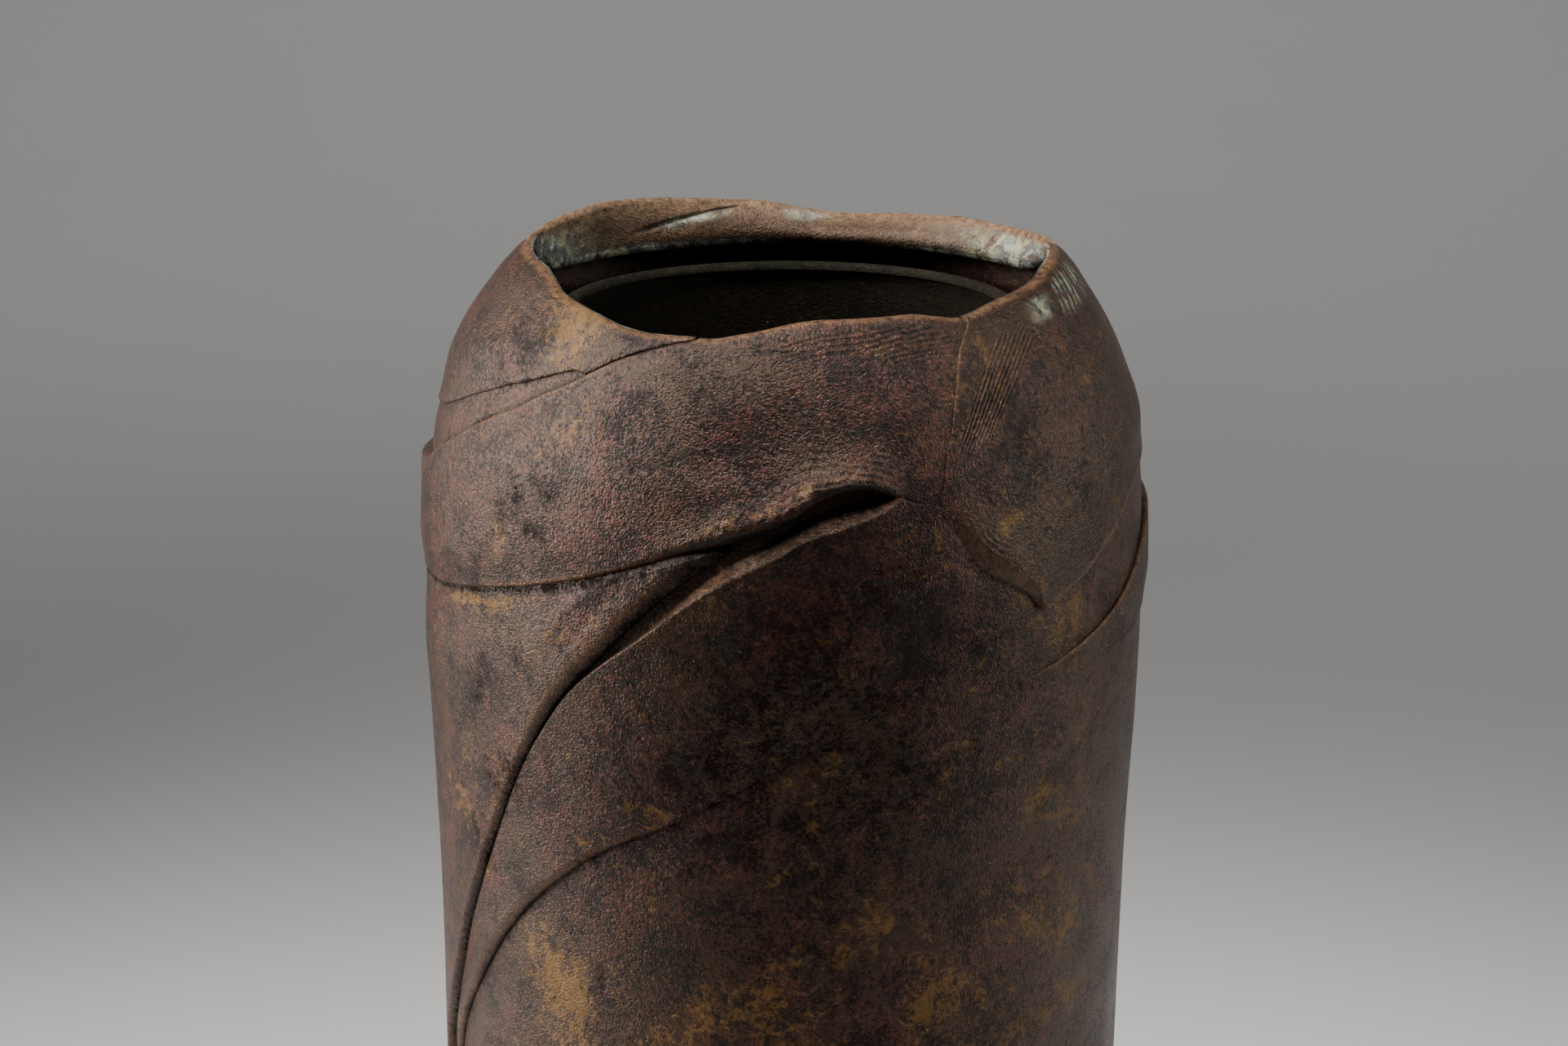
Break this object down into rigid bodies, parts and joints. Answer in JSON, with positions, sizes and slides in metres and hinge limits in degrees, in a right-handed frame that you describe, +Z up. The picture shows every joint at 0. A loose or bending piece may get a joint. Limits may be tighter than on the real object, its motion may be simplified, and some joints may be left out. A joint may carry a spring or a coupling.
{
  "type": "wrapped bronze flower vessel",
  "caption": "Tall round bronze vessel wrapped in overlapping sheath-like sheets, with a drawn-in uneven mouth and a lift-out copper water liner.",
  "frame": {"origin": "centre of the foot, on the surface that the vessel stands on", "axes": "+Z up along the vessel, -Y towards the front fold, +X to the right hand side"},
  "size_m": [0.1153, 0.1154, 0.2368],
  "materials": {
    "bronze_patina": "cast bronze with a fine mottled red-brown and slate patina, satin",
    "bronze_lip": "worn brown bronze with green and white corrosion in the hollows",
    "bronze_foot": "plain turned bronze, dark patina",
    "hard_solder": "rough brown hard solder",
    "copper": "dull copper, tarnished brown and green"
  },
  "bodies": {
    "vessel": {"trunk_wall": "bronze_patina", "front_sheath": "bronze_patina", "left_sheath": "bronze_patina", "shoulder_band": "bronze_patina", "right_neck_sheath": "bronze_patina", "left_neck_sheath": "bronze_patina", "right_collar": "bronze_lip", "left_collar": "bronze_lip", "foot_ring": "bronze_foot", "base_plate": "bronze_foot", "base_solder": "hard_solder", "seam_bead": "hard_solder"},
    "liner": {"liner_tube": "copper", "liner_floor": "copper", "liner_rim": "copper"}
  },
  "joints": [
    {"name": "liner_lift", "type": "slide", "parent": "vessel", "child": "liner", "axis": [0, 0, 1], "range_m": [0, 0.235]}
  ]
}
